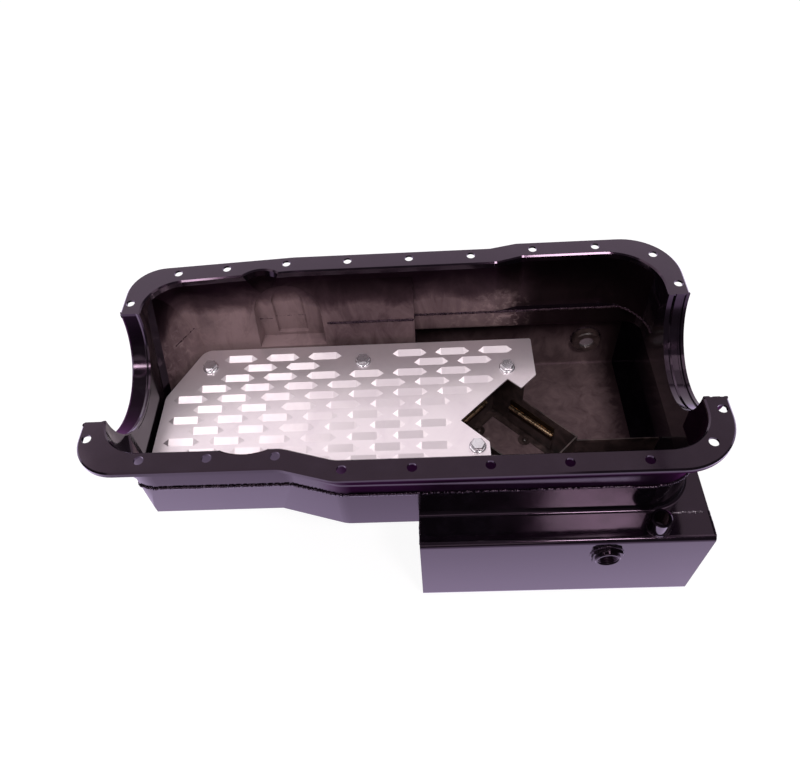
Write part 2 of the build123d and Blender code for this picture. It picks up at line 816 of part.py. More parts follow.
# ---------------------------------------------------------------- trap-door box
box_north = ((box_line_ne + box_line_nw) / 2, (box_line_ne - box_line_nw) / 2)
box_plane = Plane(origin=(*box_north, floor_top), x_dir=(1, -1, 0), z_dir=(0, 0, 1))
box_middle = (box_long / 2, -box_short / 2)
tab_bolt = box_plane.to_local_coords(Vector(*north_bolt, floor_top))
walls = [  # name, middle of the inner face, inward direction, length of the door
    ("north_east", (box_long / 2, -box_sheet), (0, -1), door_long),
    ("south_west", (box_long / 2, box_sheet - box_short), (0, 1), door_long),
    ("north_west", (box_sheet, -box_short / 2), (1, 0), door_short),
    ("south_east", (box_long - box_sheet, -box_short / 2), (-1, 0), door_short),
]
rivet_places = [
    Vector(*middle) + Vector(*inward) * rivet_inset for name, middle, inward, length in walls
]


def wall_plane(middle, inward):
    """Plane at a door's hinge height: X inward from the wall, Y up, Z along the hinge."""
    origin = box_plane.from_local_coords(Vector(*middle, 0))
    tip = box_plane.from_local_coords(Vector(*middle, 0) + Vector(*inward, 0))
    inward_world = (tip - origin).normalized()
    return Plane(
        origin=(origin.X, origin.Y, hinge_z),
        x_dir=inward_world,
        z_dir=inward_world.cross(Vector(0, 0, 1)),
    )


def ring(thickness, width):
    """Band along the inside of the box's outline, starting thickness in."""
    with BuildSketch() as shape:
        with Locations(box_middle):
            Rectangle(box_long - 2 * thickness, box_short - 2 * thickness)
            Rectangle(
                box_long - 2 * thickness - 2 * width,
                box_short - 2 * thickness - 2 * width,
                mode=Mode.SUBTRACT,
            )
    return shape.sketch


with BuildPart() as baffle_box:
    with BuildSketch(box_plane):
        add(ring(0, box_sheet))
    extrude(amount=box_height - sheet)
    with BuildSketch(box_plane):
        add(ring(box_sheet / 2, box_sheet / 2 + box_foot))
        with Locations(*rivet_places):
            Circle(rivet_pad)
    extrude(amount=box_sheet)
    with BuildSketch(box_plane):
        Rectangle(box_tab, box_sheet, align=(Align.MIN, Align.MAX))
    extrude(amount=tray_bottom - floor_top)
    with BuildSketch(box_plane.offset(tray_bottom - floor_top)):
        Rectangle(box_tab, post_reach, align=(Align.MIN, Align.MAX))
        with Locations((tab_bolt.X, tab_bolt.Y)):
            Circle(tray_bolt_hole / 2, mode=Mode.SUBTRACT)
    extrude(amount=-post_sheet)
    for name, middle, inward, door_length in walls:
        window_height = door_height - door_lap - opening_drop
        window_middle = -opening_drop - window_height / 2
        with Locations(wall_plane(middle, inward)):
            with Locations((0, window_middle, 0)):
                Box(
                    4 * box_sheet,
                    window_height,
                    door_length - 2 * door_lap,
                    mode=Mode.SUBTRACT,
                )


def wing(x_range, y_range, foot_side):
    """Upright plate on the sump floor with a foot flange, mitred to the box's corner."""
    width = x_range[1] - x_range[0]
    length = y_range[1] - y_range[0]
    sideways = Vector(0, 1) if width > length else Vector(1, 0)
    foot = sideways * foot_side * wing_foot / 2
    centre = Vector((x_range[0] + x_range[1]) / 2, (y_range[0] + y_range[1]) / 2)
    with BuildPart() as plate:
        with BuildSketch(Plane.XY.offset(floor_top)):
            with Locations(centre):
                Rectangle(width, length)
        extrude(amount=wing_height - sheet)
        with BuildSketch(Plane.XY.offset(floor_top)):
            with Locations(centre + foot):
                Rectangle(max(width, wing_foot), max(length, wing_foot))
        extrude(amount=box_sheet)
        with BuildSketch(box_plane):
            Rectangle(box_long, box_short, align=(Align.MIN, Align.MAX))
        extrude(amount=box_height, mode=Mode.SUBTRACT)
    return plate.part


north_x, north_y = box_north
diagonal = sin(radians(45))
east = (north_x + box_long * diagonal, north_y - box_long * diagonal)
west = (north_x - box_short * diagonal, north_y - box_short * diagonal)
south = (east[0] - box_short * diagonal, east[1] - box_short * diagonal)


def about(middle):
    """Range of a wing's thickness about its middle."""
    return (middle - box_sheet / 2, middle + box_sheet / 2)


pieces = {
    "wing_rear": wing((east[0] - wing_lap, sump_rear - sheet), about(east[1]), -1),
    "wing_front": wing((sump_front + sheet, west[0] + wing_lap), about(west[1]), 1),
    "wing_far": wing(about(north_x), (north_y - wing_lap, sump_far - sump_bend), -1),
    "wing_near": wing(about(south[0]), (sump_bend - sump_near, south[1] + wing_lap), 1),
}


# ---------------------------------------------------------------- trap doors and hinges
def hinge_half(plane, length, first, near_face, side):
    """Flat leaf and its own knuckles; first picks every second knuckle, side is up or down."""
    pitch = length / knuckles
    with BuildPart() as leaf:
        with BuildSketch(plane.offset(-length / 2)):
            with Locations((near_face + hinge_leaf / 2, side * hinge_leaf_width / 2)):
                Rectangle(hinge_leaf, hinge_leaf_width)
        extrude(amount=length)
        for index in range(1 - first, knuckles, 2):
            with BuildSketch(plane.offset(-length / 2 + index * pitch)):
                with Locations((hinge_offset, 0)):
                    Circle(hinge_barrel / 2 + knuckle_gap)
            extrude(amount=pitch, mode=Mode.SUBTRACT)
        for index in range(first, knuckles, 2):
            with BuildSketch(plane.offset(-length / 2 + index * pitch + knuckle_gap / 2)):
                with Locations((hinge_offset, 0)):
                    Circle(hinge_barrel / 2)
            extrude(amount=pitch - knuckle_gap)
        with BuildSketch(plane.offset(-length / 2)):
            with Locations((hinge_offset, 0)):
                Circle(hinge_bore / 2)
        extrude(amount=length, mode=Mode.SUBTRACT)
    return leaf.part


for name, middle, inward, door_length in walls:
    plane = wall_plane(middle, inward)
    start = plane.offset(-door_length / 2)
    with BuildPart() as pin:
        with BuildSketch(start):
            with Locations((hinge_offset, 0)):
                Circle(hinge_pin / 2)
        extrude(amount=door_length)
    with BuildPart() as door:
        with BuildSketch(start):
            with Locations((door_air, -door_top_gap)):
                Rectangle(door_sheet, door_height - door_top_gap, align=(Align.MIN, Align.MAX))
        extrude(amount=door_length)
    pieces[f"hinge_leaf_fixed_{name}"] = hinge_half(plane, door_length, 0, 0, 1)
    pieces[f"hinge_leaf_moving_{name}"] = hinge_half(
        plane, door_length, 1, door_air + door_sheet, -1
    )
    pieces[f"hinge_pin_{name}"] = pin.part
    pieces[f"trap_door_{name}"] = door.part

# ---------------------------------------------------------------- export
pieces.update(
    {
        "rail_stamping": rail_stamping.part,
        "shallow_section": shallow_section.part,
        "sump_collar": collar.part,
        "sump_wrap": sump_wrap.part,
        "sump_front_wall": sump_front_wall.part,
        "sump_rear_wall": sump_rear_wall.part,
        "rear_deck": rear_deck.part,
        "sensor_bung": sensor_bung.part,
        "drain_bung": drain_bung.part,
        "drain_washer": drain_washer.part,
        "drain_plug": drain_plug.part,
        "dipstick_tube": dipstick_tube.part,
        "windage_tray": windage_tray.part,
        "tray_bolts": tray_bolts.part,
        "tray_standoffs": tray_standoffs.part,
        "post_nuts": post_nuts.part,
        "tray_post": tray_post.part,
        "baffle_box": baffle_box.part,
    }
)
for name, piece in pieces.items():
    piece.label = name
    export_step(piece, f"parts/{name}.step")
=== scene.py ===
"""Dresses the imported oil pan: materials, weld beads, threads, light and camera.

Metres in the CAD frame: X along the crankshaft, near side at -Y, +Z up.
"""

import math
import random

import bpy
from mathutils import Matrix, Vector
from mathutils.bvhtree import BVHTree


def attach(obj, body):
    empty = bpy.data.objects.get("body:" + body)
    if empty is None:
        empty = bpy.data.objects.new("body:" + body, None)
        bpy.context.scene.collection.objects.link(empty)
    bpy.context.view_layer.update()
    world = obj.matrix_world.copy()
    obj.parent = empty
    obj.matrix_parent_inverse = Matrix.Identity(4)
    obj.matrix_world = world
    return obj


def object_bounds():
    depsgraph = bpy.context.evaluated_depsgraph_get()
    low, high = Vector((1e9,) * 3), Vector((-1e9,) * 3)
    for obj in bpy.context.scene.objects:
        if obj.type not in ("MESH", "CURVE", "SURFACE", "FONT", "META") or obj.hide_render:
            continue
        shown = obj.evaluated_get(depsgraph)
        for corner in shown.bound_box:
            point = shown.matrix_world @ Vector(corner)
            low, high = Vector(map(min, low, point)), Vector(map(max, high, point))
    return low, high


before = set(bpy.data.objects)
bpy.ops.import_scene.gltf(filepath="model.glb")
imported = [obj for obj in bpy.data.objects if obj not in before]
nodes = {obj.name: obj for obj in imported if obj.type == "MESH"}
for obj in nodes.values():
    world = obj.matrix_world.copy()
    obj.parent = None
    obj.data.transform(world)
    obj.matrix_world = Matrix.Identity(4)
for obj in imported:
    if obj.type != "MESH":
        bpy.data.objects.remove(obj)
cad_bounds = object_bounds()
MM = 0.001

# sizes in mm that the materials read
POCKET_X = -125  # middle of the pocket in the far wall
POCKET_HALF = 41
POCKET_NEAR_Y = 60  # the pocket's faces are beyond this
SADDLE_RADIUS = 67.5  # the saddle's band is nearer than this to the crankshaft axis
SADDLE_END_X = -262  # and in front of this
LIP_Z = -3  # and under this, as the near wall's painted shade is
SADDLE_GLINT = (-270.5, 41.5, -50.5)
STRIP_Z = -40.5  # middle of the near wall's strip that keeps its gloss and highlight in the painted shade, at x = 0, and its fall per mm of x
STRIP_FALL = -0.012
STRIP_WIDTHS = (1.4, 5.2)  # of half the strip, at x 30 and 210
COAT_LIP = -7.0  # the gloss coat goes over the lip down to here
COAT_END = 253.0  # and round the ends from here


# ---------------------------------------------------------------- material recipes
class Recipe:
    """A Principled material that is built node by node."""

    def __init__(self, name, **sockets):
        self.material = bpy.data.materials.new(name)
        self.material.use_nodes = True
        self.nodes = self.material.node_tree.nodes
        self.links = self.material.node_tree.links
        self.shader = self.nodes["Principled BSDF"]
        self.place = self.nodes.new("ShaderNodeTexCoord")
        for socket, value in sockets.items():
            self.shader.inputs[socket.replace("_", " ")].default_value = value

    def put(self, value, socket):
        if isinstance(value, bpy.types.NodeSocket):
            self.links.new(value, socket)
        else:
            socket.default_value = value

    def node(self, kind, *inputs, **settings):
        made = self.nodes.new("ShaderNode" + kind)
        for name, value in settings.items():
            setattr(made, name, value)
        for index, value in enumerate(inputs):
            if value is not None:
                self.put(value, made.inputs[index])
        return made

    def math(self, operation, a, b=0.0, clamp=False):
        return self.node("Math", a, b, operation=operation, use_clamp=clamp).outputs[0]

    def vector(self, operation, a, b=(0, 0, 0)):
        made = self.node("VectorMath", a, b, operation=operation)
        scalar = operation in ("DOT_PRODUCT", "LENGTH", "DISTANCE")
        return made.outputs["Value" if scalar else "Vector"]

    def noise(self, scale, detail=4.0, rough=0.5, stretch=(1, 1, 1), distort=0.0):
        at = self.vector("MULTIPLY", self.place.outputs["Object"], stretch)
        made = self.node("TexNoise")
        self.put(at, made.inputs["Vector"])
        made.inputs["Scale"].default_value = scale
        made.inputs["Detail"].default_value = detail
        made.inputs["Roughness"].default_value = rough
        made.inputs["Distortion"].default_value = distort
        return made.outputs["Fac"]

    def span(self, value, low, high, to_low=0.0, to_high=1.0):
        made = self.node("MapRange", value, low, high, to_low, to_high)
        return made.outputs[0]

    def colours(self, factor, low, high):
        made = self.node("Mix", data_type="RGBA")
        self.put(factor, made.inputs["Factor"])
        self.put(low if isinstance(low, bpy.types.NodeSocket) else (*low, 1), made.inputs[6])
        self.put(high if isinstance(high, bpy.types.NodeSocket) else (*high, 1), made.inputs[7])
        return made.outputs[2]

    def numbers(self, factor, low, high):
        made = self.node("Mix", data_type="FLOAT")
        self.put(factor, made.inputs["Factor"])
        self.put(low, made.inputs[2])
        self.put(high, made.inputs[3])
        return made.outputs[0]

    def near(self, point, radius):
        """1 at a point in mm, falling to 0 at radius mm."""
        away = self.vector("DISTANCE", self.place.outputs["Object"], tuple(MM * v for v in point))
        return self.span(away, 0.0, MM * radius, 1.0, 0.0)

    def inside(self, centre):
        """1 on faces that look towards a point in mm, 0 on faces that look away.

        In the far wall's pocket they look towards its middle.
        """
        x, y, _ = self.node("SeparateXYZ", self.place.outputs["Object"]).outputs
        across = self.math("ABSOLUTE", self.math("SUBTRACT", x, POCKET_X * MM))
        pocket = self.math("LESS_THAN", across, POCKET_HALF * MM)
        pocket = self.math(
            "MULTIPLY", pocket, self.math("GREATER_THAN", y, POCKET_NEAR_Y * MM)
        )
        middle = self.numbers(pocket, centre[0] * MM, POCKET_X * MM)
        middle = self.node("CombineXYZ", middle, centre[1] * MM, centre[2] * MM).outputs[0]
        towards = self.vector("SUBTRACT", middle, self.place.outputs["Object"])
        facing = self.vector("DOT_PRODUCT", self.place.outputs["Normal"], towards)
        return self.math("GREATER_THAN", facing, 0.0)

    def bump(self, *layers):
        """Bumps from (height, strength, distance in mm) layers."""
        last = None
        for height, strength, distance in layers:
            made = self.node("Bump")
            made.inputs["Strength"].default_value = strength
            made.inputs["Distance"].default_value = distance * MM
            self.put(height, made.inputs["Height"])
            if last is not None:
                self.put(last, made.inputs["Normal"])
            last = made.outputs[0]
        self.put(last, self.shader.inputs["Normal"])

    def base(self, colour, roughness):
        self.put(colour, self.shader.inputs["Base Color"])
        self.put(roughness, self.shader.inputs["Roughness"])
        return self.material


# SHADE is painted shade at the tops of the inner walls and also the colour of heat marks;
# BROWN_PALE is painted light low on the inner walls and also the colour of pale scuffs and
# patches
BLACK = (0.0026, 0.0018, 0.0030)
BLACK_DUSTY = (0.0075, 0.0055, 0.0088)
SHADE = (0.004, 0.0022, 0.0024)
BROWN = (0.112, 0.069, 0.073)
BROWN_PALE = (0.34, 0.245, 0.245)
SHEEN = (1.0, 0.52, 0.94, 1)


def painted_dark_areas(made, parts):
    """1 where the near wall behind the jog and the front saddle's band get painted shade: rough,
    dark and metallic in place of the dark surroundings they reflect.

    parts are the place's x, y and z. A strip along the wall, which falls and widens to the
    rear, keeps its gloss and the highlight it shows, and so does one spot of the saddle, where
    the saddle_glint lamp's highlight falls.
    """
    height = made.math("ADD", made.math("MULTIPLY", parts[0], STRIP_FALL), STRIP_Z * MM)
    narrow, wide = STRIP_WIDTHS
    width = made.span(parts[0], 0.03, 0.21, narrow * MM, wide * MM)
    off = made.math("ABSOLUTE", made.math("SUBTRACT", parts[2], height))
    strip = made.span(made.math("DIVIDE", off, width), 0.45, 1.2, 1.0, 0.0)
    strip = made.math("MULTIPLY", strip, made.span(parts[0], 0.190, 0.215, 1.0, 0.0))
    behind = made.span(parts[0], -0.075, -0.045)
    behind = made.math("MULTIPLY", behind, made.math("LESS_THAN", parts[1], -0.05))
    under_lip = made.span(parts[2], (LIP_Z - 1.5) * MM, LIP_Z * MM, 1.0, 0.0)
    behind = made.math("MULTIPLY", behind, under_lip)
    wall = made.math("MULTIPLY", behind, made.math("SUBTRACT", 1.0, strip))
    off_axis = made.vector("MULTIPLY", made.place.outputs["Object"], (0, 1, 1))
    from_axis = made.vector("LENGTH", off_axis)
    saddle = made.math(
        "MULTIPLY",
        made.math("LESS_THAN", from_axis, SADDLE_RADIUS * MM),
        made.math("LESS_THAN", parts[2], LIP_Z * MM),
    )
    at_end = made.math("LESS_THAN", parts[0], SADDLE_END_X * MM)
    saddle = made.math("MULTIPLY", saddle, at_end)
    saddle = made.math("MULTIPLY", saddle, made.span(parts[1], -0.058, -0.046, 0.35, 0.9))
    # a spot kept glossy so that the saddle_glint lamp's highlight shows there
    glint_spot = made.span(made.near(SADDLE_GLINT, 15), 0.15, 0.45)
    saddle = made.math("MULTIPLY", saddle, made.math("SUBTRACT", 1.0, glint_spot))
    return made.math("MAXIMUM", wall, saddle)


def pan_steel(name, centre, painted_light_stops, depth, bare=(), marks=(), shoulder=False):
    """Black gloss coat outside and over the lip; inside, a brown coat without gloss, with painted
    light and shade.

    The stops are (x in mm, brightness) of painted light along the pan: the inner coat is lighter
    where the tray throws light and darker in shade. depth gives the heights in mm between which
    painted shade at the top gives way to painted light lower down. bare and marks are (place in
    mm, radius in mm, strength) of pale scuffs and patches and of dark heat marks. With shoulder
    the near side behind the jog and the front saddle's band get painted shade in place of the
    dark they reflect, but for a glossy strip along the wall and one glossy spot of the saddle,
    where highlights show.
    """
    made = Recipe(name, IOR=1.5, Coat_IOR=1.5, Coat_Roughness=0.08, Specular_Tint=SHEEN)
    made.shader.inputs["Specular IOR Level"].default_value = 0.29
    parts = made.node("SeparateXYZ", made.place.outputs["Object"]).outputs
    cloud = made.noise(14.0, 6.0, 0.62, distort=0.7)
    smear = made.noise(46.0, 5.0, 0.65, (1.0, 1.0, 0.45), 1.4)
    spatter = made.noise(120.0, 6.0, 0.7, distort=0.5)
    grit = made.noise(420.0, 3.0, 0.6)
    peel = made.noise(760.0, 2.0, 0.5)
    coated = made.math("GREATER_THAN", parts[2], COAT_LIP * MM)
    past_end = made.math("GREATER_THAN", made.math("ABSOLUTE", parts[0]), COAT_END * MM)
    coated = made.math("MAXIMUM", coated, past_end)
    inner = made.math("SUBTRACT", made.inside(centre), coated, clamp=True)
    # painted shade at the top of the inner walls giving way to painted light lower down, with a
    # random wander
    drift = made.math("MULTIPLY", made.math("SUBTRACT", cloud, 0.5), 0.045)
    level = made.span(made.math("ADD", parts[2], drift), depth[0] * MM, depth[1] * MM)
    # painted light along the pan from the stops, lighter where the tray throws light
    along = made.node("ValToRGB", made.span(parts[0], -0.28, 0.28))
    ramp = along.color_ramp
    ramp.interpolation = "EASE"
    while len(ramp.elements) < len(painted_light_stops):
        ramp.elements.new(0.5)
    for stop, (x, value) in zip(ramp.elements, painted_light_stops):
        stop.position = (x + 280) / 560
        stop.color = (value, value, value, 1)
    # painted light by height and along the pan, with random tone from the smear noise
    tone_and_painted_light = made.math("MULTIPLY", made.math("POWER", level, 1.45), along.outputs[0])
    tone_and_painted_light = made.math("MULTIPLY", tone_and_painted_light, made.span(smear, 0.25, 0.75, 0.72, 1.25))
    # painted light: paler brown low on the walls where the painted light is strong
    pale = made.math("MULTIPLY", made.span(level, 0.62, 1.0), made.span(tone_and_painted_light, 0.35, 0.95))
    inner_colour = made.colours(tone_and_painted_light, SHADE, BROWN)
    inner_colour = made.colours(made.math("MULTIPLY", pale, 0.8), inner_colour, BROWN_PALE)
    for point, radius, strength in bare:
        pale_patch = made.math("MULTIPLY", made.near(point, radius), made.span(spatter, 0.50, 0.62))
        pale_patch = made.math("MULTIPLY", pale_patch, strength)
        inner_colour = made.colours(pale_patch, inner_colour, BROWN_PALE)
    for point, radius, strength in marks:
        burnt = made.math("MULTIPLY", made.near(point, radius), made.span(cloud, 0.38, 0.60))
        burnt = made.math("MULTIPLY", burnt, strength)
        inner_colour = made.colours(burnt, inner_colour, SHADE)
    dust = made.span(made.noise(48.0, 5.0, 0.7), 0.46, 0.78)
    outer_colour = made.colours(dust, BLACK, BLACK_DUSTY)
    outer_rough = made.span(made.noise(60.0, 4.0), 0.3, 0.7, 0.10, 0.16)
    inner_rough = made.span(tone_and_painted_light, 0.0, 1.0, 0.50, 0.62)
    gloss = made.math("MULTIPLY", made.math("SUBTRACT", 1.0, inner), 0.32)
    # painted shade: the inner coat turns metallic, and so darker, where the painted light is low
    painted_dark_metal = made.math("MULTIPLY", inner, made.span(tone_and_painted_light, 0.02, 0.45, 0.85, 0.0))
    # painted shade on the near wall behind the jog and the front saddle's band: metallic, rough
    # and without coat
    if shoulder:
        painted_dark = painted_dark_areas(made, parts)
        painted_dark_metal = made.math("MAXIMUM", painted_dark_metal, made.math("MULTIPLY", painted_dark, 0.92))
        gloss = made.math("MULTIPLY", gloss, made.math("SUBTRACT", 1.0, painted_dark))
        outer_rough = made.numbers(painted_dark, outer_rough, 0.62)
    made.put(gloss, made.shader.inputs["Coat Weight"])
    made.put(painted_dark_metal, made.shader.inputs["Metallic"])
    made.bump((peel, 0.09, 0.05), (grit, 0.06, 0.05), (made.noise(16.0, 2.0), 0.10, 0.5))
    return made.base(
        made.colours(inner, outer_colour, inner_colour),
        made.numbers(inner, outer_rough, inner_rough),
    )


def bright_metal(name, pale, dark, rough, stretch=(1, 1, 1), grain=0.05, metallic=1.0):
    """Bare metal with grain lines and faint stains; below 1 metallic it is satin."""
    made = Recipe(name, Metallic=metallic)
    lines = made.noise(900.0, 3.0, 0.65, stretch)
    stain = made.span(made.noise(22.0, 5.0, 0.6, distort=0.8), 0.42, 0.74)
    colour = made.colours(made.math("MULTIPLY", stain, 0.8), pale, dark)
    uneven = made.math("ADD", lines, made.math("MULTIPLY", stain, 0.5))
    made.bump((lines, grain, 0.05), (made.noise(300.0, 2.0), 0.03, 0.05))
    return made.base(colour, made.span(uneven, 0.35, 1.0, *rough))


def dark_plate(name):
    """Steel of the baffle box, thinly painted dark brown-black and mottled."""
    made = Recipe(name, IOR=1.5, Coat_Weight=0.15, Coat_Roughness=0.3)
    mottle = made.span(made.noise(70.0, 5.0, 0.65, distort=0.7), 0.40, 0.78)
    colour = made.colours(mottle, (0.026, 0.0165, 0.0155), (0.13, 0.085, 0.08))
    made.bump((made.noise(640.0, 3.0), 0.12, 0.06), (mottle, 0.08, 0.2))
    return made.base(colour, made.span(mottle, 0, 1, 0.34, 0.5))


def weld_metal(name, dark, pale, coat):
    """Painted weld bead, paler and a little rougher on the crests of its fine bumps."""
    made = Recipe(name, IOR=1.5, Coat_Weight=coat, Coat_Roughness=0.14, Specular_Tint=SHEEN)
    made.shader.inputs["Specular IOR Level"].default_value = 0.3
    fine = made.noise(260.0, 4.0, 0.6)
    made.bump((fine, 0.20, 0.12))
    colour = made.colours(made.span(fine, 0.4, 0.7), dark, pale)
    return made.base(colour, made.span(fine, 0.3, 0.7, 0.2, 0.36))


def hinge_brass(name, height):
    """Dull brass leaves whose knuckles, at height in mm, are rubbed bright."""
    made = Recipe(name, Metallic=1.0)
    up = made.node("SeparateXYZ", made.place.outputs["Object"]).outputs[2]
    off = made.math("ABSOLUTE", made.math("SUBTRACT", up, height * MM))
    rubbed = made.span(off, 0.0014, 0.0026, 1.0, 0.0)
    stain = made.noise(240.0, 4.0, 0.6)
    rubbed = made.math("MULTIPLY", rubbed, made.span(stain, 0.36, 0.52))
    colour = made.colours(rubbed, (0.052, 0.033, 0.020), (0.86, 0.62, 0.40))
    made.bump((made.noise(700.0, 3.0), 0.06, 0.05))
    return made.base(colour, made.span(rubbed, 0, 1, 0.52, 0.42))


# points in mm that inner faces look towards; the bung's is behind the pan, so that its
# outward faces look away
bowl_centre = (20, 0, -60)
collar_centre = (140, 0, -120)
sump_centre = (140, 0, -150)
bung_centre = (181, 400, -119)
HINGE_HEIGHT = -167.5
# (x in mm, brightness) stops of painted light inside the pan: lighter where the tray throws
# light, darker in shade towards the rear
wall_painted_light = (
    (-280, 0.20),
    (-205, 0.95),
    (-150, 1.0),
    (-60, 0.50),
    (95, 0.66),
    (150, 0.16),
    (280, 0.05),
)
sump_painted_light = ((-280, 0.5), (120, 0.62), (215, 0.60), (280, 0.10))
bung_painted_light = ((-280, 0.1), (280, 0.1))
corner_scuffs = (
    ((-236, 84, -72), 34, 0.85),
    ((-257, 40, -66), 40, 0.5),
    ((-205, 116, -70), 30, 0.55),
)
corner_marks = (
    ((-222, 104, -66), 30, 0.8),
    ((-150, 118, -66), 26, 0.7),
    ((-250, 92, -30), 60, 0.8),
)
# pale patches on the far wall by its jog
ledge_pale_patches = (
    ((110, 120, -76), 34, 1.0),
    ((122, 122, -85), 16, 0.9),
    ((98, 118, -60), 26, 0.8),
    ((70, 117, -82), 40, 0.5),
)
finishes = {
    "rail": pan_steel(
        "rail_coat",
        bowl_centre,
        wall_painted_light,
        (-10, -52),
        corner_scuffs + ledge_pale_patches,
        corner_marks,
        shoulder=True,
    ),
    "bowl": pan_steel(
        "bowl_coat", bowl_centre, wall_painted_light, (-14, -66), corner_scuffs, corner_marks
    ),
    "collar": pan_steel("collar_coat", collar_centre, wall_painted_light, (-14, -66), ledge_pale_patches),
    "sump": pan_steel("sump_coat", sump_centre, sump_painted_light, (-60, -170)),
    "bung": pan_steel("bung_coat", bung_centre, bung_painted_light, (-60, -200)),
    "tray": bright_metal(
        "tray_sheet",
        (0.90, 0.83, 0.85),
        (0.80, 0.72, 0.76),
        rough=(0.29, 0.36),
        stretch=(0.04, 1, 1),
        grain=0.015,
        metallic=0.78,
    ),
    "zinc": bright_metal(
        "zinc_plate", (0.78, 0.77, 0.80), (0.50, 0.48, 0.50), (0.16, 0.30), metallic=0.85
    ),
    "brass": hinge_brass("hinge_brass", HINGE_HEIGHT),
    "copper": bright_metal("copper_ring", (0.78, 0.40, 0.27), (0.40, 0.19, 0.13), (0.25, 0.45)),
    "steel": bright_metal("turned_steel", (0.52, 0.50, 0.50), (0.26, 0.24, 0.24), (0.26, 0.42)),
    "plate": dark_plate("baffle_paint"),
    "weld": weld_metal("coated_weld", BLACK, BLACK_DUSTY, 0.3),
    # the deck weld's pale specks are painted glints; its coat adds real gloss too
    "weld_painted_glints": weld_metal("deck_weld_coat", (0.02, 0.016, 0.02), (0.30, 0.26, 0.30), 0.8),
    "raw_weld": weld_metal("inner_weld", (0.010, 0.006, 0.008), (0.050, 0.033, 0.036), 0.1),
}
dressed = {
    "rail_stamping": "rail",
    "shallow_section": "bowl",
    "sump_collar": "collar",
    "sump_wrap": "sump",
    "sump_front_wall": "sump",
    "sump_rear_wall": "sump",
    "rear_deck": "sump",
    "sensor_bung": "bung",
    "dipstick_tube": "bung",
    "drain_bung": "plate",
    "drain_washer": "copper",
    "drain_plug": "zinc",
    "windage_tray": "tray",
    "tray_bolts": "zinc",
    "tray_standoffs": "steel",
    "post_nuts": "zinc",
}
for name, node in nodes.items():
    if name.startswith("hinge_"):
        finish = "brass"
    else:
        finish = dressed.get(name, "plate")
    node.data.materials.clear()
    node.data.materials.append(finishes[finish])


# ---------------------------------------------------------------- weld beads
def skin_of(*names):
    """Search tree over the faces of some CAD nodes."""
    points = []
    faces = []
    for name in names:
        mesh = nodes[name].data
        start = len(points)
        points += [v.co.copy() for v in mesh.vertices]
        faces += [[start + i for i in p.vertices] for p in mesh.polygons]
    return BVHTree.FromPolygons(points, faces)


def rounded(corners, step=4.0):
    """Points in mm along a closed outline of (x, y, radius) corners."""
    count = len(corners)
    path = []
    for index in range(count):
        here = Vector(corners[index][:2])
        back = (Vector(corners[index - 1][:2]) - here).normalized()
        ahead = (Vector(corners[(index + 1) % count][:2]) - here).normalized()
        half = back.angle(ahead) / 2
        radius = corners[index][2]
        turn = 1 if back.x * ahead.y - back.y * ahead.x < 0 else -1
        middle = here + (back + ahead).normalized() * radius / math.sin(half)
        start = here + back * radius / math.tan(half) - middle
        sweep = math.pi - 2 * half
        steps = max(2, int(radius * sweep / step))
        for k in range(steps + 1):
            path.append(middle + Matrix.Rotation(turn * sweep * k / steps, 2) @ start)
    return path


def stepped(points, gap, closed=False):
    """The same line with points every gap."""
    points = [Vector(p) for p in points]
    if closed:
        points.append(points[0].copy())
    out = []
    carry = 0.0
    for a, b in zip(points, points[1:]):
        length = (b - a).length
        while carry < length:
            out.append(a.lerp(b, carry / length))
            carry += gap
        carry -= length
    return out


def mesh_piece(name, points, faces, finish):
    mesh = bpy.data.meshes.new(name)
    mesh.from_pydata(points, [], faces)
    mesh.materials.append(finishes[finish])
    mesh.shade_smooth()
    piece = bpy.data.objects.new(name, mesh)
    bpy.context.scene.collection.objects.link(piece)
    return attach(piece, "pan")


RIPPLE = 2.1  # length in mm of a weld bead's ripple, made of three rings
REACH = 6  # a bead keeps its own line where the surface is further off, in mm


def bead(name, runs, radius, surface, finish="weld", lift=0.25, uneven=0.22, seed=1):
    """Rippled weld beads along (points in mm, closed) runs, laid on a surface's search tree."""
    rng = random.Random(seed)
    sides = 8
    points = []
    faces = []
    for run, closed in runs:
        line = stepped(run, RIPPLE / 3, closed)
        if len(line) < 3:
            continue
        start = len(points)
        wander = 0.0
        size = 1.0
        for index, at in enumerate(line):
            after = line[(index + 1) % len(line)] if closed or index < len(line) - 1 else at
            before = line[index - 1] if closed or index else at
            along = (after - before).normalized()
            hit, normal, _, _ = surface.find_nearest(at * MM)
            here = hit / MM if (hit / MM - at).length < REACH else at
            up = (normal - normal.project(along)).normalized()
            side = along.cross(up)
            size += rng.uniform(-1, 1) * 0.12 + (1.0 - size) * 0.22
            wander += rng.uniform(-1, 1) * 0.10 * radius - wander * 0.2
            phase = (index % 3) / 3
            crest = radius * (1 + uneven * (0.5 - phase) + 0.18 * (size - 1))
            taper = 1.0
            if not closed:
                from_end = min(index, len(line) - 1 - index)
                taper = min(1.0, 0.35 + from_end * 0.2)
            for k in range(sides):
                angle = 2 * math.pi * k / sides
                sideways = math.cos(angle) * crest + wander
                height = math.sin(angle) * crest * 0.62 + lift
                points.append((here + (side * sideways + up * height) * taper) * MM)
        rings = len(line)
        for ring in range(rings if closed else rings - 1):
            for k in range(sides):
                a = start + ring * sides + k
                b = start + ring * sides + (k + 1) % sides
                c = start + (ring + 1) % rings * sides + (k + 1) % sides
                d = start + (ring + 1) % rings * sides + k
                faces.append((a, d, c, b))
        if not closed:
            faces.append([start + k for k in range(sides)])
            faces.append([start + (rings - 1) * sides + k for k in reversed(range(sides))])
    return mesh_piece(name, points, faces, finish)


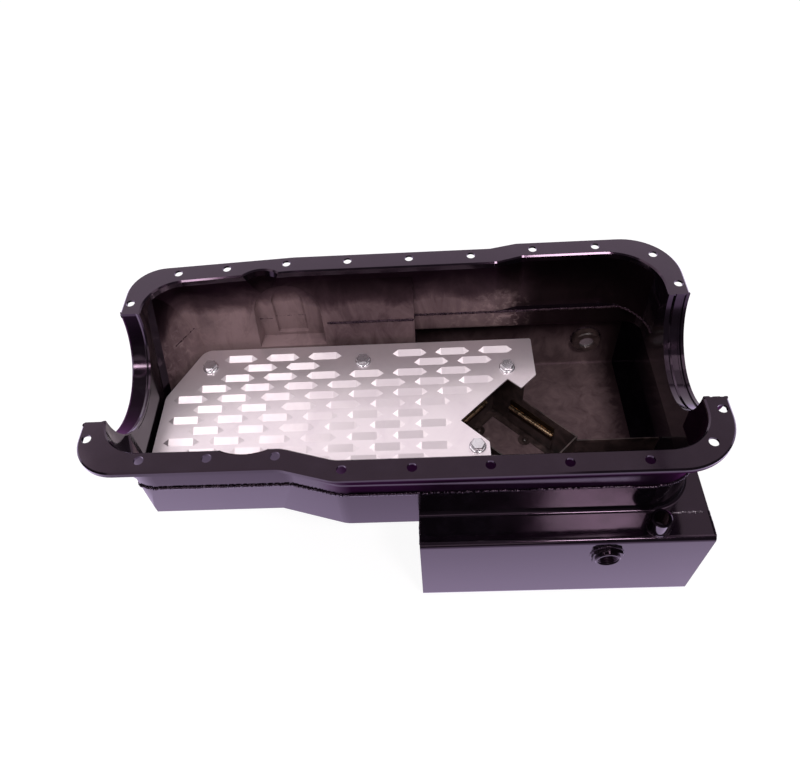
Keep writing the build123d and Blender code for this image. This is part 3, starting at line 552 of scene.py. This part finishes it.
OPENING = [
    (-257.5, -99.5, 36),
    (-100, -99.5, 28),
    (-55, -113, 28),
    (257.5, -113, 38),
    (257.5, 125.5, 50),
    (125, 125.5, 14),
    (98, 118, 14),
    (-110, 118, 60),
    (-257.5, 108, 36),
]
# the weld seam under the stamping drops from its near wall to its far one
SEAM_NEAR = (-113, -55)
SEAM_SLOPE = 15 / 231
CAST_FROM = 22  # how far off the outline the rays start, and how far they go, in mm
CAST_LENGTH = 40


def seam_z(y):
    """Height in mm of the weld seam at y."""
    near_y, near_z = SEAM_NEAR
    return near_z - (y - near_y) * SEAM_SLOPE


def seam_runs(surface, side, keep):
    """Runs of the seam line in mm on the walls' outside (side 1) or inside (-1).

    keep says of a point of the outline whether the seam is there.
    """
    line = stepped(rounded(OPENING), 2.0, True)
    runs = []
    open_run = []
    for index, point in enumerate(line + line[:1]):
        along = (line[(index + 1) % len(line)] - line[(index - 1) % len(line)]).normalized()
        out = Vector((along.y, -along.x, 0)) * side
        hit = Vector((point.x, point.y, 0))
        for _ in range(3):
            start = Vector((point.x, point.y, 0)) + out * CAST_FROM
            start.z = seam_z(hit.y)
            found, _, _, _ = surface.ray_cast(start * MM, -out, CAST_LENGTH * MM)
            if found is None:
                break
            hit = found / MM
        if found is not None and keep(point):
            open_run.append(hit)
        elif open_run:
            runs.append(open_run)
            open_run = []
    if open_run:
        if runs and (runs[0][0] - open_run[-1]).length < 5:
            runs[0] = open_run + runs[0]
        else:
            runs.append(open_run)
    return [(run, False) for run in runs if len(run) > 3]


def outside_seam(p):
    """All round but for the two saddles."""
    return not (p.x < -240 and abs(p.y) < 75 or p.x > 240 and abs(p.y) < 72)


def inside_seam(p):
    """Along the far wall and round its rear corner."""
    return p.y > 60 and -85 < p.x < 262 and not (p.x > 240 and p.y < 72)


walls = skin_of("rail_stamping", "shallow_section", "sump_collar")
bead(
    "seam_weld_outside",
    seam_runs(walls, 1, outside_seam),
    1.7,
    walls,
    lift=0.65,
    seed=3,
)
bead(
    "seam_weld_inside",
    seam_runs(walls, -1, inside_seam),
    1.5,
    walls,
    "raw_weld",
    uneven=0.35,
    seed=5,
)


def frame_on(centre, axis):
    """Matrix in metres whose Z runs along axis through a centre in mm."""
    turned = Vector((0, 0, 1)).rotation_difference(Vector(axis).normalized())
    return Matrix.Translation(Vector(centre) * MM) @ turned.to_matrix().to_4x4()


def turned(name, profiles, places, finish, steps=40):
    """Solids of revolution: closed (radius, height) profiles in mm, at (centre, axis) places."""
    points = []
    faces = []
    for centre, axis in places:
        fix = frame_on(centre, axis)
        for profile in profiles:
            start = len(points)
            for k in range(steps):
                angle = 2 * math.pi * k / steps
                for r, h in profile:
                    local = Vector((r * math.cos(angle), r * math.sin(angle), h))
                    points.append(fix @ (local * MM))
            size = len(profile)
            for k in range(steps):
                for i in range(size):
                    a = start + k * size + i
                    b = start + (k + 1) % steps * size + i
                    c = start + (k + 1) % steps * size + (i + 1) % size
                    d = start + k * size + (i + 1) % size
                    faces.append((a, b, c, d))
    piece = mesh_piece(name, points, faces, finish)
    piece.data.set_sharp_from_angle(angle=math.radians(40))
    return piece


def circle_run(centre, axis, radius):
    """A closed run of points in mm round a circle."""
    fix = frame_on(centre, axis)
    count = 48
    run = []
    for k in range(count):
        angle = math.radians(360.0 * k / count)
        local = Vector((radius * math.cos(angle), radius * math.sin(angle), 0))
        run.append((fix @ (local * MM)) / MM)
    return run, True


UP = (0, 0, 1)
TRAY_TOP = -95.0
TRAY_BOLTS = [(-212, 74.5), (-45, 75.5), (-205, -74), (-45, -84), (109, 59.5), (71, -40.5)]
turned(
    "tray_bolt_flanges",
    [[(5.6, 0.0), (5.6, 1.7), (7.0, 1.6), (8.3, 0.9), (8.5, 0.5), (8.5, 0.0)]],
    [((x, y, TRAY_TOP), UP) for x, y in TRAY_BOLTS],
    "zinc",
)

# rivets on the pads of the baffle box's floor
BOX_NORTH = Vector((99.5, 84.5))
BOX_SIZE = (116.0, 73.0)
BOX_ALONG = Vector((1, -1)).normalized()
BOX_ACROSS = Vector((1, 1)).normalized()
RIVET_INSET = 11
RIVET_BASE = -196.9
MIDDLE = (BOX_SIZE[0] / 2, -BOX_SIZE[1] / 2)
RIVETS = [
    (MIDDLE[0], -RIVET_INSET),
    (MIDDLE[0], RIVET_INSET - BOX_SIZE[1]),
    (RIVET_INSET, MIDDLE[1]),
    (BOX_SIZE[0] - RIVET_INSET, MIDDLE[1]),
]
rivet_places = []
for u, v in RIVETS:
    spot = BOX_NORTH + BOX_ALONG * u + BOX_ACROSS * v
    rivet_places.append(((spot.x, spot.y, RIVET_BASE), UP))
turned(
    "baffle_rivets",
    [[(0.01, 0.0), (0.01, 2.0), (1.6, 1.8), (2.8, 1.1), (3.5, 0.0)]],
    rivet_places,
    "plate",
    28,
)


def thread(radius, depth, pitch, first, last):
    """Profiles of thread rings that stand in from a bore's radius."""
    rings = []
    at = first
    while at + pitch <= last:
        root = radius + 0.05
        rings.append([(root, at), (root, at + pitch), (radius - depth, at + pitch / 2)])
        at += pitch
    return rings


BUNG = (181, -146.5, -119)
TOWARDS_NEAR = (0, -1, 0)
DECK_Z = -95
DIPSTICK = (224.5, -134, DECK_Z)
DRAIN = (214, 150.4, -152)
turned("bung_thread", thread(9.5, 0.75, 1.5, -2.2, 6.0), [(BUNG, TOWARDS_NEAR)], "bung", 48)

# beads round the fittings and along the rear deck
fittings = skin_of("sump_wrap", "rear_deck", "sump_rear_wall", "sump_front_wall")
bead("bung_weld", [circle_run(BUNG, TOWARDS_NEAR, 14.2)], 1.3, fittings, seed=7)
bead("dipstick_weld", [circle_run(DIPSTICK, UP, 9.9)], 1.1, fittings, seed=8)
bead("drain_weld", [circle_run(DRAIN, (0, 1, 0), 16.8)], 1.3, fittings, "raw_weld", seed=9)
bead(
    "deck_weld",
    [([(229, -119.6, DECK_Z), (268.5, -119.6, DECK_Z)], False)],
    1.2,
    fittings,
    "weld_painted_glints",
    uneven=0.4,
    seed=11,
)
bead(
    "rear_wall_welds",
    [
        ([(272.6, -117, DECK_Z), (272.6, -146.0, DECK_Z)], False),
        ([(272.6, 124, DECK_Z), (272.6, 151.0, DECK_Z)], False),
    ],
    0.9,
    fittings,
    seed=12,
)
bead(
    "front_wall_welds",
    [([(12.6, -118, DECK_Z), (12.6, -146.0, DECK_Z)], False)],
    0.9,
    fittings,
    seed=13,
)

# ---------------------------------------------------------------- stage and light
FLOOR_HALF = 12.0
FLOOR_GAP = 0.0004  # under the sump, so that the two don't share a plane
FLOOR_CORNERS = ((-1, -1), (1, -1), (1, 1), (-1, 1))
GLOSSY_FLOOR = (1.45, 1.18, 1.78)  # colour of the floor in mirrors
floor_z = cad_bounds[0].z - FLOOR_GAP
mesh = bpy.data.meshes.new("studio_floor")
mesh.from_pydata(
    [(x * FLOOR_HALF, y * FLOOR_HALF, floor_z) for x, y in FLOOR_CORNERS],
    [],
    [(0, 1, 2, 3)],
)
floor = bpy.data.objects.new("studio_floor", mesh)
bpy.context.scene.collection.objects.link(floor)
paper = Recipe("studio_paper", Roughness=0.9)
grey = paper.colours(paper.noise(3.0), (0.17, 0.17, 0.17), (0.18, 0.18, 0.18))
paper.base(grey, 0.9)
light_path = paper.node("LightPath")
mirrored = light_path.outputs["Is Glossy Ray"]
seen = paper.math("MAXIMUM", light_path.outputs["Is Camera Ray"], mirrored)
seen = paper.math("MAXIMUM", seen, light_path.outputs["Is Transmission Ray"])
shade = paper.colours(mirrored, (1, 1, 1), GLOSSY_FLOOR)
across = paper.node("SeparateXYZ", paper.place.outputs["Object"]).outputs[1]
# in mirrors the floor gets dimmer towards the front, in two steps
front = paper.span(across, -0.75, -0.42, 0.06, 1.0)
front = paper.math("MULTIPLY", front, paper.span(across, -0.24, -0.155, 0.68, 1.0))
front = paper.numbers(mirrored, 1.0, front)
strength = paper.math("MULTIPLY", paper.math("MULTIPLY", seen, front), 0.90)
glow = paper.node("Emission", shade, strength)
both = paper.node("AddShader", paper.shader.outputs[0], glow.outputs[0])
paper.links.new(both.outputs[0], paper.nodes["Material Output"].inputs["Surface"])
floor.data.materials.append(paper.material)

world = bpy.data.worlds.new("studio")
bpy.context.scene.world = world
world.use_nodes = True
world_tree = world.node_tree
background = world_tree.nodes["Background"]


def world_node(kind, **settings):
    made = world_tree.nodes.new("ShaderNode" + kind)
    for key, value in settings.items():
        setattr(made, key, value)
    return made


# a dim room with a pale backdrop low behind the object; the camera sees plain white
direction = world_node("TexCoord")


def lobe(aim, low, high, weight):
    """Brightness towards an aim: 0 where the cosine to it is low, weight where it is high."""
    towards = world_node("VectorMath", operation="DOT_PRODUCT")
    towards.inputs[1].default_value = Vector(aim).normalized()
    world_tree.links.new(direction.outputs["Generated"], towards.inputs[0])
    ramp = world_node("MapRange", interpolation_type="SMOOTHSTEP")
    ramp.inputs["From Min"].default_value = low
    ramp.inputs["From Max"].default_value = high
    ramp.inputs["To Min"].default_value = 0.0
    ramp.inputs["To Max"].default_value = weight
    world_tree.links.new(towards.outputs["Value"], ramp.inputs["Value"])
    return ramp.outputs[0]


def joined(operation, *values):
    last = values[0]
    for value in values[1:]:
        made = world_node("Math", operation=operation)
        for index, part in enumerate((last, value)):
            if isinstance(part, float):
                made.inputs[index].default_value = part
            else:
                world_tree.links.new(part, made.inputs[index])
        last = made.outputs[0]
    return last


backdrop = joined(
    "MULTIPLY", lobe((0, 0, -1), -0.76, -0.655, 1.4), lobe((-0.15, 1, 0), 0.25, 0.6, 1.0)
)
zenith = lobe((0.12, -0.22, 1), 0.84, 0.99, 0.14)
room = joined("ADD", 0.12, backdrop, zenith, lobe((0, 0, -1), 0.0, 0.5, 0.3))
path = world_node("LightPath")
final = world_node("Mix", data_type="FLOAT")
world_tree.links.new(path.outputs["Is Camera Ray"], final.inputs["Factor"])
world_tree.links.new(room, final.inputs[2])
final.inputs[3].default_value = 1.0
world_tree.links.new(final.outputs[0], background.inputs["Strength"])
tint = world_node("Mix", data_type="RGBA")
world_tree.links.new(path.outputs["Is Camera Ray"], tint.inputs["Factor"])
tint.inputs[6].default_value = (0.98, 0.90, 1.0, 1)
tint.inputs[7].default_value = (1, 1, 1, 1)
world_tree.links.new(tint.outputs[2], background.inputs["Color"])


def softbox(name, at, target, size, glow, colour=(1.0, 0.93, 0.95)):
    """A rectangular lamp; glow is its brightness per area, 1 being white in a mirror."""
    lamp = bpy.data.lights.new(name, "AREA")
    lamp.shape = "RECTANGLE"
    lamp.size, lamp.size_y = size
    lamp.energy = glow * math.pi * size[0] * size[1]
    lamp.color = colour
    holder = bpy.data.objects.new(name, lamp)
    holder.location = at
    holder.rotation_mode = "QUATERNION"
    holder.rotation_quaternion = (Vector(target) - Vector(at)).to_track_quat("-Z", "Y")
    bpy.context.scene.collection.objects.link(holder)


softbox("overhead_back", (-0.25, 0.665, 1.40), (-0.25, 0.665, 0.0), (1.9, 1.49), 0.79)
softbox("overhead_rear", (1.05, 0.62, 1.38), (1.05, 0.62, 0.0), (0.64, 0.80), 0.7)
softbox("overhead_left", (-0.86, -0.20, 1.38), (-0.86, -0.20, 0.0), (0.95, 0.60), 1.7)
softbox("overhead_right", (0.98, -0.15, 1.38), (0.98, -0.15, 0.0), (0.50, 0.70), 1.6)
softbox("side_left", (-1.30, 0.35, 0.95), (0, 0, -0.1), (0.9, 0.7), 1.3)
softbox("lip_right", (0.42, -0.68, 0.93), (0.17, -0.12, -0.1), (0.22, 0.16), 42.0)
softbox("lip_left", (-0.50, -0.67, 0.88), (-0.17, 0.12, 0), (0.16, 0.16), 22.0)
softbox("saddle_glint", (-0.726, -0.62, 0.82), (-0.27, 0.04, -0.05), (0.08, 0.08), 30.0)
softbox("fill_front", (-0.4, -1.7, 0.9), (0, 0, -0.1), (1.8, 0.8), 0.9)

# ---------------------------------------------------------------- camera
yaw, pitch, roll = (math.radians(v) for v in (-3.81, 51.24, 5.06))
forward = Vector(
    (math.sin(yaw) * math.cos(pitch), math.cos(yaw) * math.cos(pitch), -math.sin(pitch))
)
level = Vector((math.cos(yaw), -math.sin(yaw), 0))
below = forward.cross(level)
right = math.cos(roll) * level + math.sin(roll) * below
down = -math.sin(roll) * level + math.cos(roll) * below
lens = bpy.data.cameras.new("photo_view")
lens.lens = 32.55
lens.sensor_width = 36
lens.clip_start = 0.01
lens.clip_end = 100
CAMERA_AT = Vector((26.4, -440.0, 495.3))
camera = bpy.data.objects.new("photo_view", lens)
placed = Matrix((right, -down, -forward)).transposed().to_4x4()
placed.translation = CAMERA_AT * MM
camera.matrix_world = placed
bpy.context.scene.collection.objects.link(camera)
bpy.context.scene.camera = camera
bpy.context.scene.view_settings.view_transform = "Standard"
